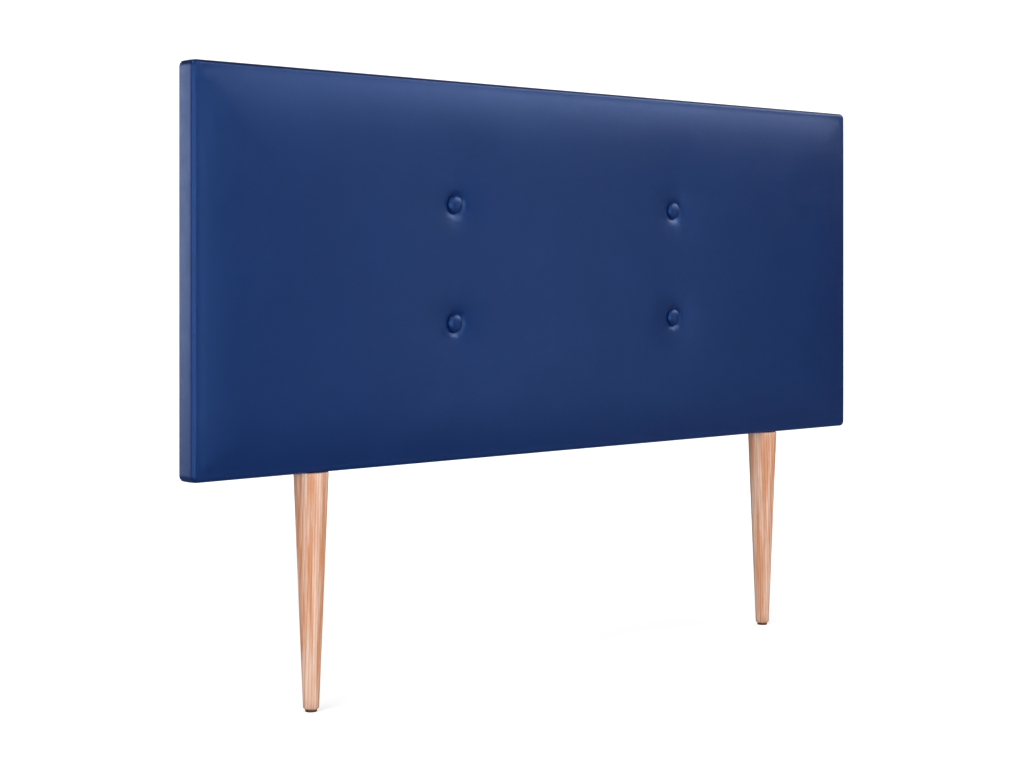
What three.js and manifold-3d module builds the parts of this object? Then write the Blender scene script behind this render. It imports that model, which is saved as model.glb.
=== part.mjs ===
// An upholstered headboard on two tapered legs: a buttoned, padded panel over a wooden frame.
// Millimetres, +Z up. +X is to the right seen from the front, and the padded front faces -Y.
// The origin is on the floor at mid-width, in the plane of the two leg axes.

import * as THREE from 'three';
import { mergeVertices } from 'three/addons/utils/BufferGeometryUtils.js';
import Module from 'manifold-3d';

const wasm = await Module();
wasm.setup();

// ---- Driving dimensions ----

const GAP = 0.3; // clearance between pieces that touch
const PANEL_WIDTH = 1450;
const PANEL_HEIGHT = 570;
const CORNER_RADIUS = 9;

const LEG_LENGTH = 337;
const LEG_SPACING = 1016; // between the leg axes
const LEG_TOP_DIAMETER = 50;
const LEG_FOOT_DIAMETER = 23;
const LEG_FOOT_CHAMFER = 2.5;
const LEG_TOP_ROUND = 0.6;
const GLIDE_THICKNESS = 3;
const GLIDE_DIAMETER = 17;
const GLIDE_ROUND = 1; // at the lower edge
const NAIL_DIAMETER = 2;
const NAIL_LENGTH = 12; // above the glide's disc, without its point
const NAIL_POINT = 1;

const FRAME_BACK = 13.6; // rear face of the frame, behind the leg axes
const FRAME_DEPTH = 23;
const RAIL_HEIGHT = 60;
const STILE_WIDTH = 60;
const UPRIGHT_WIDTH = 60;
const DOWEL_DIAMETER = 8;
const DOWEL_LENGTH = 40;
const DOWEL_SPACING = 30; // between the two dowels of one joint

const BOARD_THICKNESS = 3;
const BOARD_INSET = 3; // from the frame's edges
const BOARD_CORNER_RADIUS = 8;
const FOAM_THICKNESS = 10.8; // at the middle, held down by the cover
const EDGE_RADIUS = 5; // of the cover's soft front edge
const CROWN_HEIGHT = 7.2; // how far the front rises from that edge to the middle
const CROWN_WIDTH = 100; // the band around the panel over which it rises
const EDGE_LINES = [0, 0.5, 1.9, 5, 18, 38, 62, 100]; // distances from an edge that carry vertices
const COVER_THICKNESS = 0.9;
const COVER_TURN_IN = 30; // width of cover folded onto the back
const BACK_CLOTH_THICKNESS = 0.6;
const BACK_CLOTH_INSET = 12; // from the panel's edges

const BUTTON_DIAMETER = 28;
const BUTTON_HEIGHT = 6.5;
const BUTTON_WALL = 1.4;
const BUTTON_RIM = 0.8;
const BUTTON_RIM_CHAMFER = 0.4;
const BUTTON_SPACING_X = 496;
const BUTTON_ROWS = [206, 384]; // heights above the panel's bottom edge
const BUTTON_PLATE_THICKNESS = 1;
const BUTTON_LOOP_RADIUS = 3.4;
const BUTTON_LOOP_WIRE = 1.4;

const DIMPLE_DEPTH = 6.8;
const DIMPLE_FLOOR_RADIUS = 14.5;
const DIMPLE_RADIUS = 75;
const DIMPLE_FALLOFF = 22; // how quickly a dimple's slope dies away
const DIMPLE_RINGS = 4;
const DIMPLE_RING_GROWTH = 1.5; // rings lie closer together near the button

const TIE_HOLE_DIAMETER = 9;
const TWINE_DIAMETER = 1.4;
const TWINE_BEND_RADIUS = 3.1;
const PEG_DIAMETER = 4;
const PEG_LENGTH = 30;

const BOLT_DIAMETER = 8;
const BOLT_IN_LEG = 38;
const BOLT_IN_RAIL = 18;
const BOLT_TIP = 6;
const BOLT_TIP_DIAMETER = 2;
const BOLT_END_CHAMFER = 1;
const INSERT_DIAMETER = 12;
const INSERT_LENGTH = 18;
const HOLE_CLEARANCE = 0.6; // on the diameter of every hole around a bolt, nail or dowel
const COVER_HOLE_CLEARANCE = 2; // on the diameter of the holes where the bolts pass the cover

const BEYOND = 1; // how far a cutting shape reaches past what it cuts
const ROUND_SIDES = 16;
const SMALL_SIDES = 12;
const LEG_SIDES = 32;
const NAIL_SIDES = 8;
const CORD_SIDES = 6;
const DOME_STEPS = 5;
const CORNER_STEPS = 5;
const BUTTON_SIDES = 20;

// ---- Positions worked out from them ----

const PANEL_BOTTOM = GLIDE_THICKNESS + LEG_LENGTH;
const PANEL_MIDDLE = PANEL_BOTTOM + PANEL_HEIGHT / 2;
const SKIN = COVER_THICKNESS + GAP; // from the outside of the cover to what it covers
const CORE_WIDTH = PANEL_WIDTH - 2 * SKIN;
const CORE_HEIGHT = PANEL_HEIGHT - 2 * SKIN;
const CORE_BOTTOM = PANEL_BOTTOM + SKIN;
const CORE_TOP = CORE_BOTTOM + CORE_HEIGHT;
const FRAME_FRONT = FRAME_BACK - FRAME_DEPTH;
const FRAME_MIDDLE = (FRAME_BACK + FRAME_FRONT) / 2;
const BOARD_BACK = FRAME_FRONT - GAP;
const BOARD_FRONT = BOARD_BACK - BOARD_THICKNESS;
const FOAM_BACK = BOARD_FRONT - GAP;
const FOAM_FRONT = FOAM_BACK - FOAM_THICKNESS;
const COVER_INSIDE_FRONT = FOAM_FRONT - GAP;
const COVER_FRONT = COVER_INSIDE_FRONT - COVER_THICKNESS;
const COVER_INSIDE_BACK = FRAME_BACK + GAP;
const COVER_BACK = COVER_INSIDE_BACK + COVER_THICKNESS;
const BACK_CLOTH_FRONT = COVER_BACK + GAP;
const BUTTON_SEAT = COVER_FRONT + DIMPLE_DEPTH - GAP; // plane of the buttons' rims
const PEG_CENTRE = BOARD_BACK + GAP + PEG_DIAMETER / 2;

// ---- Materials ----

function material(color, roughness, metalness) {
  return new THREE.MeshStandardMaterial({ color, roughness, metalness });
}

const leatherette = () => material(0x243a6b, 0.45, 0);
const paleWood = () => material(0xdfb393, 0.5, 0);
const pine = () => material(0xd9b884, 0.75, 0);
const hardboard = () => material(0x7a5536, 0.8, 0);
const foam = () => material(0xe8e2c4, 0.95, 0);
const clothBlack = () => material(0x1d1d1f, 0.95, 0);
const darkPlastic = () => material(0x3a261d, 0.5, 0);
const zincSteel = () => material(0xb9bcc0, 0.35, 1);
const brass = () => material(0xb08d4a, 0.35, 1);
const twine = () => material(0xd8d3c6, 0.9, 0);
const beech = () => material(0xcfa678, 0.7, 0);

// ---- Solids ----

// Turns a closed three.js geometry into a solid that can be joined and cut.
function solid(geometry) {
  const bare = geometry.index ? geometry.toNonIndexed() : geometry.clone();
  bare.deleteAttribute('normal');
  bare.deleteAttribute('uv');
  const merged = mergeVertices(bare, 1e-4);
  const vertProperties = new Float32Array(merged.attributes.position.array);
  const triVerts = new Uint32Array(merged.index.array);
  return new wasm.Manifold(new wasm.Mesh({ numProp: 3, vertProperties, triVerts }));
}

function geometryOf(manifold) {
  const mesh = manifold.getMesh();
  const geometry = new THREE.BufferGeometry();
  geometry.setAttribute('position', new THREE.BufferAttribute(mesh.vertProperties, 3));
  geometry.setIndex(new THREE.BufferAttribute(mesh.triVerts, 1));
  return geometry;
}

// A box given by its lowest and highest corners.
function box(low, high) {
  const geometry = new THREE.BoxGeometry(high[0] - low[0], high[1] - low[1], high[2] - low[2]);
  geometry.translate((low[0] + high[0]) / 2, (low[1] + high[1]) / 2, (low[2] + high[2]) / 2);
  return geometry;
}

// A round bar along X, Y or Z, from one end point to the other along that axis.
function bar(axis, diameter, start, end, centre, sides = ROUND_SIDES) {
  const geometry = new THREE.CylinderGeometry(diameter / 2, diameter / 2, end - start, sides);
  if (axis === 'x') geometry.rotateZ(Math.PI / 2);
  if (axis === 'z') geometry.rotateX(Math.PI / 2);
  const middle = new THREE.Vector3(...centre);
  middle[axis] = (start + end) / 2;
  return geometry.translate(middle.x, middle.y, middle.z);
}

// A turned shape about +Z. The profile is [radius, height] pairs from bottom to top.
function turned(profile, sides) {
  const points = profile.map(([radius, height]) => new THREE.Vector2(radius, height));
  return new THREE.LatheGeometry(points, sides).rotateX(Math.PI / 2);
}

// A block whose edges along Y are rounded, centred on the panel.
function roundedSlab(width, height, radius, front, back) {
  const x = width / 2 - radius;
  const y = height / 2 - radius;
  const outline = new THREE.Shape();
  outline.absarc(x, y, radius, 0, Math.PI / 2);
  outline.absarc(-x, y, radius, Math.PI / 2, Math.PI);
  outline.absarc(-x, -y, radius, Math.PI, 1.5 * Math.PI);
  outline.absarc(x, -y, radius, 1.5 * Math.PI, 2 * Math.PI);
  const options = { depth: back - front, bevelEnabled: false, curveSegments: CORNER_STEPS };
  const geometry = new THREE.ExtrudeGeometry(outline, options);
  return geometry.rotateX(Math.PI / 2).translate(0, back, PANEL_MIDDLE);
}

// How far a padded front falls back at a point, from its distances to the panel's edges.
function frontDrop(across, up, cornerRadius, edgeRadius) {
  const inset = (distance) => Math.max(cornerRadius - distance, 0);
  const nearest = Math.min(across, up);
  const inCorner = inset(across) > 0 && inset(up) > 0;
  const fromEdge = inCorner ? cornerRadius - Math.hypot(inset(across), inset(up)) : nearest;
  const intoRound = THREE.MathUtils.clamp(edgeRadius - fromEdge, 0, edgeRadius);
  const round = edgeRadius - Math.sqrt(edgeRadius ** 2 - intoRound ** 2);
  const rise = (distance) => 1 - (1 - Math.min(distance / CROWN_WIDTH, 1)) ** 3;
  return round + CROWN_HEIGHT * (1 - rise(across) * rise(up));
}

// A padded block: flat at the back, with a soft front edge and a crowned front.
// inset is how far it lies inside the outside of the cover, all round.
function paddedBlock(inset, front, back) {
  const width = PANEL_WIDTH - 2 * inset;
  const height = PANEL_HEIGHT - 2 * inset;
  const cornerRadius = CORNER_RADIUS - inset;
  const cells = 2 * EDGE_LINES.length - 1;
  const geometry = new THREE.BoxGeometry(cells, 1, cells, cells, 1, cells);
  const position = geometry.attributes.position;
  const place = (value, size) => {
    const line = Math.round(value + cells / 2);
    const fromLow = line < EDGE_LINES.length;
    const distance = EDGE_LINES[fromLow ? line : cells - line];
    return { distance, at: (fromLow ? -1 : 1) * (size / 2 - distance) };
  };
  for (let index = 0; index < position.count; index += 1) {
    const across = place(position.getX(index), width);
    const up = place(position.getZ(index), height);
    const drop = frontDrop(across.distance, up.distance, cornerRadius, EDGE_RADIUS - inset);
    const y = position.getY(index) < 0 ? front + drop : COVER_BACK;
    position.setXYZ(index, across.at, y, PANEL_MIDDLE + up.at);
  }
  const outline = roundedSlab(width, height, cornerRadius, front - BEYOND, back);
  return solid(geometry).intersect(solid(outline));
}

function buttonCentres() {
  const centres = [];
  for (const [row, height] of [['lower', BUTTON_ROWS[0]], ['upper', BUTTON_ROWS[1]]]) {
    for (const [side, sign] of [['left', -1], ['right', 1]]) {
      const x = (sign * BUTTON_SPACING_X) / 2;
      centres.push({ name: `${row}_${side}`, x, z: PANEL_BOTTOM + height });
    }
  }
  return centres;
}

// Turns a shape made about +Z, pointing up, so that it points out of the panel's front.
function facingFront(geometry, x, y, z) {
  return geometry.rotateX(Math.PI / 2).translate(x, y, z);
}

// The hollow that a button pulls into a surface at y = front.
function dimple(front, floorRadius, { x, z }) {
  const profile = [[0, -DIMPLE_DEPTH], [floorRadius, -DIMPLE_DEPTH]];
  const span = DIMPLE_RADIUS - DIMPLE_FLOOR_RADIUS;
  const end = Math.exp(-span / DIMPLE_FALLOFF);
  for (let ring = 1; ring <= DIMPLE_RINGS; ring += 1) {
    const out = span * (ring / DIMPLE_RINGS) ** DIMPLE_RING_GROWTH;
    const fall = (Math.exp(-out / DIMPLE_FALLOFF) - end) / (1 - end);
    profile.push([floorRadius + out, -DIMPLE_DEPTH * fall]);
  }
  profile.push([floorRadius + span, BEYOND], [0, BEYOND]);
  return solid(facingFront(turned(profile, ROUND_SIDES), x, front, z));
}

function tieHole({ x, z }, front, back) {
  return solid(bar('y', TIE_HOLE_DIAMETER, front, back, [x, 0, z], SMALL_SIDES));
}

const legSides = [['left', -LEG_SPACING / 2], ['right', LEG_SPACING / 2]];

// ---- Cover, foam, board and back cloth ----

function makeCover() {
  let outside = paddedBlock(0, COVER_FRONT, COVER_BACK);
  let inside = paddedBlock(COVER_THICKNESS, COVER_INSIDE_FRONT, COVER_INSIDE_BACK);
  for (const centre of buttonCentres()) {
    outside = outside.subtract(dimple(COVER_FRONT, DIMPLE_FLOOR_RADIUS, centre));
    const wider = DIMPLE_FLOOR_RADIUS + COVER_THICKNESS;
    inside = inside.subtract(dimple(COVER_INSIDE_FRONT, wider, centre));
  }
  const mouthX = PANEL_WIDTH / 2 - COVER_TURN_IN;
  const mouthZ = PANEL_HEIGHT / 2 - COVER_TURN_IN;
  const low = [-mouthX, FRAME_BACK - BEYOND, PANEL_MIDDLE - mouthZ];
  const high = [mouthX, COVER_BACK + BEYOND, PANEL_MIDDLE + mouthZ];
  let cover = outside.subtract(inside).subtract(solid(box(low, high)));
  for (const centre of buttonCentres()) {
    cover = cover.subtract(tieHole(centre, COVER_FRONT, FOAM_BACK));
  }
  for (const [, x] of legSides) {
    const diameter = BOLT_DIAMETER + COVER_HOLE_CLEARANCE;
    const hole = bar('z', diameter, PANEL_BOTTOM - BEYOND, CORE_BOTTOM + BEYOND, [x, 0, 0]);
    cover = cover.subtract(solid(hole));
  }
  return geometryOf(cover);
}

function makeFoam() {
  let pad = paddedBlock(SKIN, FOAM_FRONT, FOAM_BACK);
  for (const centre of buttonCentres()) {
    pad = pad.subtract(dimple(FOAM_FRONT, DIMPLE_FLOOR_RADIUS + SKIN, centre));
    pad = pad.subtract(tieHole(centre, FOAM_FRONT - BEYOND, FOAM_BACK + BEYOND));
  }
  return geometryOf(pad);
}

function makeBoard() {
  const width = CORE_WIDTH - 2 * BOARD_INSET;
  const height = CORE_HEIGHT - 2 * BOARD_INSET;
  let board = solid(roundedSlab(width, height, BOARD_CORNER_RADIUS, BOARD_FRONT, BOARD_BACK));
  for (const centre of buttonCentres()) {
    board = board.subtract(tieHole(centre, BOARD_FRONT - BEYOND, BOARD_BACK + BEYOND));
  }
  return geometryOf(board);
}

function makeBackCloth() {
  const width = PANEL_WIDTH - 2 * BACK_CLOTH_INSET;
  const height = PANEL_HEIGHT - 2 * BACK_CLOTH_INSET;
  const back = BACK_CLOTH_FRONT + BACK_CLOTH_THICKNESS;
  const low = [-width / 2, BACK_CLOTH_FRONT, PANEL_MIDDLE - height / 2];
  const high = [width / 2, back, PANEL_MIDDLE + height / 2];
  return box(low, high);
}

// ---- Frame ----

const uprightSpan = [CORE_BOTTOM + RAIL_HEIGHT + GAP, CORE_TOP - RAIL_HEIGHT - GAP];

const uprights = [
  { name: 'left_stile', x: -(CORE_WIDTH - STILE_WIDTH) / 2, width: STILE_WIDTH },
  { name: 'centre_upright', x: 0, width: UPRIGHT_WIDTH },
  { name: 'right_stile', x: (CORE_WIDTH - STILE_WIDTH) / 2, width: STILE_WIDTH },
];

function dowelPlaces() {
  const places = [];
  for (const upright of uprights) {
    for (const [end, z] of [['bottom', CORE_BOTTOM + RAIL_HEIGHT], ['top', CORE_TOP - RAIL_HEIGHT]]) {
      for (const [index, sign] of [[1, -1], [2, 1]]) {
        const x = upright.x + (sign * DOWEL_SPACING) / 2;
        places.push({ name: `dowel_${upright.name}_${end}_${index}`, x, z });
      }
    }
  }
  return places;
}

function cutDowelHoles(member) {
  let result = member;
  const reach = DOWEL_LENGTH / 2 + GAP;
  for (const { x, z } of dowelPlaces()) {
    const diameter = DOWEL_DIAMETER + HOLE_CLEARANCE;
    const hole = bar('z', diameter, z - reach, z + reach, [x, FRAME_MIDDLE, 0], SMALL_SIDES);
    result = result.subtract(solid(hole));
  }
  return result;
}

// A rail runs the full width, and its outer corners follow the panel's.
function makeRail(bottom) {
  const radius = CORNER_RADIUS - SKIN;
  const whole = solid(roundedSlab(CORE_WIDTH, CORE_HEIGHT, radius, FRAME_FRONT, FRAME_BACK));
  const low = [-PANEL_WIDTH, FRAME_FRONT - BEYOND, bottom];
  const high = [PANEL_WIDTH, FRAME_BACK + BEYOND, bottom + RAIL_HEIGHT];
  let rail = cutDowelHoles(whole.intersect(solid(box(low, high))));
  if (bottom === CORE_BOTTOM) {
    for (const [, x] of legSides) {
      const diameter = INSERT_DIAMETER + HOLE_CLEARANCE;
      const end = CORE_BOTTOM + INSERT_LENGTH + 2 * GAP;
      rail = rail.subtract(solid(bar('z', diameter, CORE_BOTTOM - BEYOND, end, [x, 0, 0])));
    }
  }
  return geometryOf(rail);
}

function makeUpright({ x, width }) {
  const low = [x - width / 2, FRAME_FRONT, uprightSpan[0]];
  const high = [x + width / 2, FRAME_BACK, uprightSpan[1]];
  return geometryOf(cutDowelHoles(solid(box(low, high))));
}

function makeDowel({ x, z }) {
  const reach = DOWEL_LENGTH / 2;
  return bar('z', DOWEL_DIAMETER, z - reach, z + reach, [x, FRAME_MIDDLE, 0], SMALL_SIDES);
}

// ---- Legs ----

const legFoot = GLIDE_THICKNESS + GAP;
const legTop = PANEL_BOTTOM - GAP;

function makeLeg() {
  const foot = LEG_FOOT_DIAMETER / 2;
  const top = LEG_TOP_DIAMETER / 2;
  const profile = [
    [0, legFoot],
    [foot - LEG_FOOT_CHAMFER, legFoot],
    [foot, legFoot + LEG_FOOT_CHAMFER],
    [top, legTop - LEG_TOP_ROUND],
    [top - LEG_TOP_ROUND, legTop],
    [0, legTop],
  ];
  const body = solid(turned(profile, LEG_SIDES));
  const boltStart = legTop - BOLT_IN_LEG - GAP;
  const boltHole = bar('z', BOLT_DIAMETER + HOLE_CLEARANCE, boltStart, legTop + BEYOND, [0, 0, 0]);
  const nailWidth = NAIL_DIAMETER + HOLE_CLEARANCE;
  const nailEnd = legFoot + NAIL_LENGTH + NAIL_POINT;
  const nailHole = bar('z', nailWidth, legFoot - BEYOND, nailEnd, [0, 0, 0], NAIL_SIDES);
  return geometryOf(body.subtract(solid(boltHole)).subtract(solid(nailHole)));
}

// A nail-in glide: a low plastic disc with a nail up the middle.
function makeGlide() {
  const radius = GLIDE_DIAMETER / 2;
  const nail = NAIL_DIAMETER / 2;
  const nailTop = GLIDE_THICKNESS + NAIL_LENGTH;
  const profile = [
    [0, 0],
    [radius - GLIDE_ROUND, 0],
    [radius, GLIDE_ROUND],
    [radius, GLIDE_THICKNESS],
    [nail, GLIDE_THICKNESS],
    [nail, nailTop],
    [0, nailTop + NAIL_POINT],
  ];
  return turned(profile, ROUND_SIDES);
}

// A hanger bolt: pointed wood thread below, machine thread above.
function makeHangerBolt() {
  const bottom = legTop - BOLT_IN_LEG;
  const top = CORE_BOTTOM + BOLT_IN_RAIL;
  const radius = BOLT_DIAMETER / 2;
  const profile = [
    [0, bottom],
    [BOLT_TIP_DIAMETER / 2, bottom],
    [radius, bottom + BOLT_TIP],
    [radius, top - BOLT_END_CHAMFER],
    [radius - BOLT_END_CHAMFER, top],
    [0, top],
  ];
  return turned(profile, ROUND_SIDES);
}

function makeThreadedInsert() {
  const bore = (BOLT_DIAMETER + HOLE_CLEARANCE) / 2;
  const outside = INSERT_DIAMETER / 2;
  const bottom = CORE_BOTTOM + GAP;
  const top = bottom + INSERT_LENGTH;
  const profile = [
    [bore, bottom],
    [outside, bottom],
    [outside, top],
    [bore, top],
    [bore, bottom],
  ];
  return turned(profile, ROUND_SIDES);
}

// ---- Buttons and their ties ----

// Points of an elliptical arc from the rim, at angle 0, up to the axis.
function domeArc(radius, height, base, steps) {
  const points = [];
  for (let step = 0; step <= steps; step += 1) {
    const angle = (step / steps) * (Math.PI / 2);
    const across = step === steps ? 0 : radius * Math.cos(angle);
    points.push([across, base + height * Math.sin(angle)]);
  }
  return points;
}

function makeButtonCap({ x, z }) {
  const radius = BUTTON_DIAMETER / 2;
  const dome = BUTTON_HEIGHT - BUTTON_RIM;
  const outer = domeArc(radius, dome, BUTTON_RIM, DOME_STEPS);
  const inner = domeArc(radius - BUTTON_WALL, dome - BUTTON_WALL, BUTTON_RIM, DOME_STEPS - 1);
  const rim = [[radius - BUTTON_WALL, 0], [radius - BUTTON_RIM_CHAMFER, 0]];
  const profile = [...inner.reverse(), ...rim, ...outer];
  return facingFront(turned(profile, BUTTON_SIDES), x, BUTTON_SEAT, z);
}

// The plate that closes a button's back, with the wire loop that the twine pulls on.
function makeButtonPlate({ x, z }) {
  const radius = BUTTON_DIAMETER / 2 - BUTTON_WALL - GAP;
  const disc = bar('z', 2 * radius, 0, BUTTON_PLATE_THICKNESS, [0, 0, 0], BUTTON_SIDES);
  const plate = solid(disc);
  const wire = BUTTON_LOOP_WIRE / 2;
  const ring = new THREE.TorusGeometry(BUTTON_LOOP_RADIUS, wire, CORD_SIDES, ROUND_SIDES);
  ring.rotateX(Math.PI / 2);
  const room = 2 * BUTTON_LOOP_RADIUS;
  const middle = BUTTON_PLATE_THICKNESS / 2;
  const loop = solid(ring).subtract(solid(box([-room, -room, middle], [room, room, room])));
  return facingFront(geometryOf(plate.add(loop)), x, BUTTON_SEAT, z);
}

// A loop of twine: a ring pulled out along Y, around the wire loop at its front and the peg behind.
function makeTwineTie({ x, z }) {
  const wireInside = BUTTON_SEAT + BUTTON_LOOP_RADIUS - BUTTON_LOOP_WIRE / 2;
  const apex = (BUTTON_SEAT + wireInside) / 2;
  const front = apex + TWINE_BEND_RADIUS;
  const thread = TWINE_DIAMETER / 2;
  const ring = new THREE.TorusGeometry(TWINE_BEND_RADIUS, thread, CORD_SIDES, ROUND_SIDES);
  ring.rotateY(Math.PI / 2);
  ring.rotateX(Math.PI / ROUND_SIDES); // half a step, so that no vertex lies where the ring parts
  const position = ring.attributes.position;
  for (let index = 0; index < position.count; index += 1) {
    const shift = position.getY(index) > 0 ? PEG_CENTRE : front;
    position.setY(index, position.getY(index) + shift);
  }
  return geometryOf(solid(ring.translate(x, 0, z)));
}

function makePeg({ x, z }) {
  const reach = PEG_LENGTH / 2;
  return bar('x', PEG_DIAMETER, x - reach, x + reach, [0, PEG_CENTRE, z], SMALL_SIDES);
}

// ---- Assembly ----

const headboard = new THREE.Group();

function place(name, geometry, finish, x = 0) {
  const mesh = new THREE.Mesh(geometry, finish);
  mesh.name = name;
  mesh.position.set(x, 0, 0);
  headboard.add(mesh);
}

place('leatherette_cover', makeCover(), leatherette());
place('foam_pad', makeFoam(), foam());
place('facing_board', makeBoard(), hardboard());
place('back_cloth', makeBackCloth(), clothBlack());
place('frame_bottom_rail', makeRail(CORE_BOTTOM), pine());
place('frame_top_rail', makeRail(CORE_TOP - RAIL_HEIGHT), pine());
for (const upright of uprights) {
  place(`frame_${upright.name}`, makeUpright(upright), pine());
}
for (const dowel of dowelPlaces()) {
  place(dowel.name, makeDowel(dowel), beech());
}
for (const [side, x] of legSides) {
  place(`leg_${side}`, makeLeg(), paleWood(), x);
  place(`foot_glide_${side}`, makeGlide(), darkPlastic(), x);
  place(`hanger_bolt_${side}`, makeHangerBolt(), zincSteel(), x);
  place(`threaded_insert_${side}`, makeThreadedInsert(), brass(), x);
}
for (const centre of buttonCentres()) {
  place(`button_${centre.name}`, makeButtonCap(centre), leatherette());
  place(`button_plate_${centre.name}`, makeButtonPlate(centre), zincSteel());
  place(`twine_tie_${centre.name}`, makeTwineTie(centre), twine());
  place(`tie_peg_${centre.name}`, makePeg(centre), beech());
}

export default headboard;
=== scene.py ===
"""An upholstered headboard with four covered buttons, on two tapered legs. Metres, +Z up, front facing -Y."""

import math

import bpy
import numpy as np
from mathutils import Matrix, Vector


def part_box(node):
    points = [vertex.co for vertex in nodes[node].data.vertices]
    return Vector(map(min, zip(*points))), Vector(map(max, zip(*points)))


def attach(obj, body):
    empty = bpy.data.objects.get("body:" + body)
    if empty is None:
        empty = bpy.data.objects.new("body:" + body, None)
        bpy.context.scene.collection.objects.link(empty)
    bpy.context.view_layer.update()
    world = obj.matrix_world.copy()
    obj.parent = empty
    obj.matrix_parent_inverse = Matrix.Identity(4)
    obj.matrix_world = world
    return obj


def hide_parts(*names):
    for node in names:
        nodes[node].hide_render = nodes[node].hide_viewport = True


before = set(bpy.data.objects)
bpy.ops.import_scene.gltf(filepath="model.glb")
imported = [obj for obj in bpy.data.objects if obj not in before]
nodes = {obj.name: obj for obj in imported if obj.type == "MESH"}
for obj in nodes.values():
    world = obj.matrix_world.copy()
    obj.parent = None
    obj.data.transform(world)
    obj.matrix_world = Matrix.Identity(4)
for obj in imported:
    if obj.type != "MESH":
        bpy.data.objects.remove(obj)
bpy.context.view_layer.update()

SIDES = ("left", "right")
BUTTON_NAMES = [f"{row}_{side}" for row in ("lower", "upper") for side in SIDES]

# ---- Places and sizes, from the frame where it has them ----

COVER_LOW, COVER_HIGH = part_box("leatherette_cover")
HALF_WIDTH = COVER_HIGH.x
BOTTOM, TOP = COVER_LOW.z, COVER_HIGH.z
MIDDLE = (BOTTOM + TOP) / 2
HALF_HEIGHT = (TOP - BOTTOM) / 2
FRONT, BACK = COVER_LOW.y, COVER_HIGH.y

BUTTON_BOXES = {name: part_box(f"button_{name}") for name in BUTTON_NAMES}
BUTTON_CENTRES = [((low.x + high.x) / 2, (low.z + high.z) / 2) for low, high in BUTTON_BOXES.values()]

CORNER_RADIUS = 0.009
EDGE_RADIUS = 0.005  # of the cover's soft front edge
CROWN_HEIGHT = 0.0072  # how far the front rises from that edge to the middle
CROWN_WIDTH = 0.130
COVER_THICKNESS = 0.0009
COVER_TURN_IN = 0.030
BACK_EDGE_RADIUS = 0.003
SKIN = 0.0012  # from the outside of the cover to the foam

DIMPLE_DEPTH = 0.0068
DIMPLE_FLOOR_RADIUS = 0.0145
DIMPLE_RADIUS = 0.075
DIMPLE_FALLS = ((0.38, 15), (0.62, 2.1))  # (share of the depth, how fast it dies away) near and far
TIE_HOLE_RADIUS = 0.0045

# ---- Small helpers for meshes ----


def make_object(name, vertices, faces):
    mesh = bpy.data.meshes.new(name)
    mesh.from_pydata([tuple(map(float, v)) for v in vertices], [], [list(map(int, f)) for f in faces])
    mesh.validate()
    mesh.polygons.foreach_set("use_smooth", [True] * len(mesh.polygons))
    piece = bpy.data.objects.new(name, mesh)
    bpy.context.scene.collection.objects.link(piece)
    return piece


def apply_modifiers(piece):
    """Replaces the piece's mesh with what its modifiers make of it."""
    graph = bpy.context.evaluated_depsgraph_get()
    made = bpy.data.meshes.new_from_object(piece.evaluated_get(graph))
    piece.modifiers.clear()
    piece.data = made


def thicken(piece, thickness):
    """Gives a single surface a thickness, on the side that its faces turn away from."""
    modifier = piece.modifiers.new("Thickness", "SOLIDIFY")
    modifier.thickness = thickness
    modifier.offset = -1
    apply_modifiers(piece)


def lathe(name, profile, sides, place=(0, 0, 0), facing_front=False, wave=None):
    """A turned solid. The profile is [radius, height] pairs from the axis, round the outside, to the axis.

    wave(angle, index) gives a factor for the radius, for gathers and the like.
    """
    vertices, rings = [], []
    for index, (radius, height) in enumerate(profile):
        start = len(vertices)
        if radius == 0:
            vertices.append((0, 0, height))
            rings.append([start] * sides)
            continue
        for side in range(sides):
            angle = 2 * math.pi * side / sides
            reach = radius * (wave(angle, index) if wave else 1)
            vertices.append((reach * math.cos(angle), reach * math.sin(angle), height))
        rings.append(list(range(start, start + sides)))
    faces = []
    for lower, upper in zip(rings, rings[1:]):
        for side in range(sides):
            after = (side + 1) % sides
            corners = [lower[side], lower[after], upper[after], upper[side]]
            faces.append(list(dict.fromkeys(corners)))
    if facing_front:
        vertices = [(x, -z, y) for x, y, z in vertices]
    vertices = np.array(vertices) + np.array(place)
    return make_object(name, vertices, faces)


def arc(centre, radius, start, end, steps):
    """[radius, height] pairs on an arc, with angles in degrees from the outward direction."""
    angles = np.radians(np.linspace(start, end, steps + 1))
    return [(centre[0] + radius * math.cos(a), centre[1] + radius * math.sin(a)) for a in angles]


def sweep(points, radius, sides):
    """Vertices and faces of a tube along points, without twist, with flat ends."""
    points = [Vector(p) for p in points]
    count = len(points)
    vertices, faces = [], []
    normal = None
    for index, point in enumerate(points):
        before = points[index - 1] if index else point
        after = points[index + 1] if index + 1 < count else point
        along = (after - before).normalized()
        if normal is None:
            normal = along.orthogonal().normalized()
        normal = (normal - along * normal.dot(along)).normalized()
        across = along.cross(normal)
        for side in range(sides):
            angle = 2 * math.pi * side / sides
            vertices.append(point + (normal * math.cos(angle) + across * math.sin(angle)) * radius)
    for index in range(count - 1):
        for side in range(sides):
            one, two = index * sides, (index + 1) * sides
            after = (side + 1) % sides
            faces.append([one + side, one + after, two + after, two + side])
    faces.append(list(range(sides))[::-1])
    faces.append(list(range((count - 1) * sides, count * sides)))
    return vertices, faces


def joined(name, parts):
    """One object from several (vertices, faces) pairs."""
    vertices, faces = [], []
    for more_vertices, more_faces in parts:
        shift = len(vertices)
        vertices.extend(more_vertices)
        faces.extend([[corner + shift for corner in face] for face in more_faces])
    return make_object(name, vertices, faces)


def smoothstep(low, high, value):
    share = np.clip((value - low) / (high - low), 0, 1)
    return share * share * (3 - 2 * share)


# ---- Materials ----


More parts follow.
